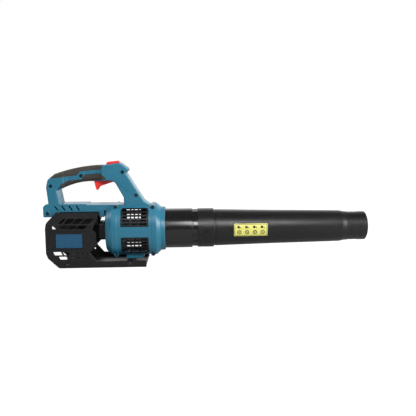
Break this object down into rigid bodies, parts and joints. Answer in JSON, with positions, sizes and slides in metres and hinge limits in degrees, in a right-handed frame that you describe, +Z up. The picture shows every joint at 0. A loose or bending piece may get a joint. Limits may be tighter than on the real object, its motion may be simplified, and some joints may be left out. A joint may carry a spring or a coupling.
{
  "type": "leaf blower",
  "caption": "Cordless leaf blower: two-piece body with a loop handle, trigger and boost button, open battery guard on skids, axial fan in a round duct and a long tapered nozzle.",
  "frame": {"origin": "on the ground, under the middle of the skid plate", "axes": "+X along the duct axis towards the nozzle's tip, +Z up, +Y to the left; the plane Y = 0 parts the two body halves"},
  "size_m": [0.858, 0.1294, 0.2728],
  "materials": {
    "body_blue": "fine moulded texture, semi-matt teal blue",
    "grip_rubber": "soft overmould with a fine texture, warm dark grey",
    "control_red": "smooth moulded red",
    "guard_black": "fine moulded texture, black",
    "duct_black": "polished black",
    "nozzle_black": "satin black",
    "badge_blue": "smooth deep blue plate, blank",
    "label_yellow": "printed film, blank yellow with dark bars",
    "steel": "bright",
    "screw_black": "black coated",
    "aluminium": "die cast",
    "terminal_brass": "plated",
    "fan_nylon": "glass-filled nylon",
    "lamination": "stacked steel sheets",
    "circuit_board": "green board"
  },
  "bodies": {
    "root": {"housing_right": "body_blue", "housing_left": "body_blue", "upper_grip_right": "grip_rubber", "upper_grip_left": "grip_rubber", "lower_grip_right": "grip_rubber", "lower_grip_left": "grip_rubber", "battery_lead": "control_red", "guard_right": "guard_black", "guard_left": "guard_black", "skid_base": "guard_black", "battery_shoe": "guard_black", "battery_stop": "guard_black", "beam_damper": "guard_black", "inlet_grille_upper_right": "guard_black", "inlet_grille_lower_right": "guard_black", "inlet_grille_upper_left": "guard_black", "inlet_grille_lower_left": "guard_black", "switch_body": "guard_black", "fan_duct": "duct_black", "badge_right": "badge_blue", "badge_left": "badge_blue", "motor_can": "steel", "bearing_front": "steel", "bearing_rear": "steel", "trigger_pin": "steel", "trigger_spring": "steel", "button_spring": "steel", "body_screw_1": "screw_black", "body_screw_2": "screw_black", "body_screw_3": "screw_black", "body_screw_4": "screw_black", "body_screw_5": "screw_black", "body_screw_6": "screw_black", "body_screw_7": "screw_black", "body_screw_8": "screw_black", "body_screw_9": "screw_black", "guard_screw_right_1": "screw_black", "guard_screw_right_2": "screw_black", "guard_screw_left_1": "screw_black", "guard_screw_left_2": "screw_black", "motor_end_cap": "aluminium", "heat_sink": "aluminium", "terminal_right": "terminal_brass", "terminal_left": "terminal_brass", "guide_vanes": "fan_nylon", "tail_cone": "fan_nylon", "terminal_block": "fan_nylon", "stator_core": "lamination", "control_board": "circuit_board"},
    "fan": {"fan_impeller": "fan_nylon", "fan_nut": "steel", "motor_shaft": "steel", "rotor": "lamination"},
    "trigger": {"trigger": "control_red"},
    "plunger": {"switch_plunger": "fan_nylon"},
    "top_button": {"top_button": "control_red"},
    "nozzle": {"nozzle_tube": "nozzle_black", "nozzle_tip": "nozzle_black", "label_plate": "label_yellow"},
    "release_button": {"release_button": "guard_black"}
  },
  "joints": [
    {"name": "fan_spin", "type": "hinge", "parent": "root", "child": "fan", "pos_m": [0.163, 0, 0.091], "axis": [1, 0, 0], "continuous": true},
    {"name": "trigger_pull", "type": "hinge", "parent": "root", "child": "trigger", "pos_m": [0.024, 0, 0.226], "axis": [0, 1, 0], "range_deg": [0, 13], "stiffness_Nm_per_rad": 0.6, "springref_deg": -5.73, "deforming": ["trigger_spring"]},
    {"name": "plunger_slide", "type": "slide", "parent": "root", "child": "plunger", "axis": [0, 0, 1], "range_m": [0, 0.005]},
    {"name": "top_button_press", "type": "slide", "parent": "root", "child": "top_button", "axis": [0, 0, -1], "range_m": [0, 0.003], "stiffness_N_per_m": 400, "springref_m": -0.001, "deforming": ["button_spring"]},
    {"name": "nozzle_pull", "type": "slide", "parent": "root", "child": "nozzle", "axis": [1, 0, 0], "range_m": [0, 0.05]},
    {"name": "release_press", "type": "slide", "parent": "nozzle", "child": "release_button", "axis": [0, 0.9816, 0.1908], "range_m": [0, 0.0012], "stiffness_N_per_m": 400, "springref_m": -0.001}
  ],
  "couplings": [
    {"joint": "plunger_slide", "follows": "trigger_pull", "m_per_rad": 0.0216}
  ]
}
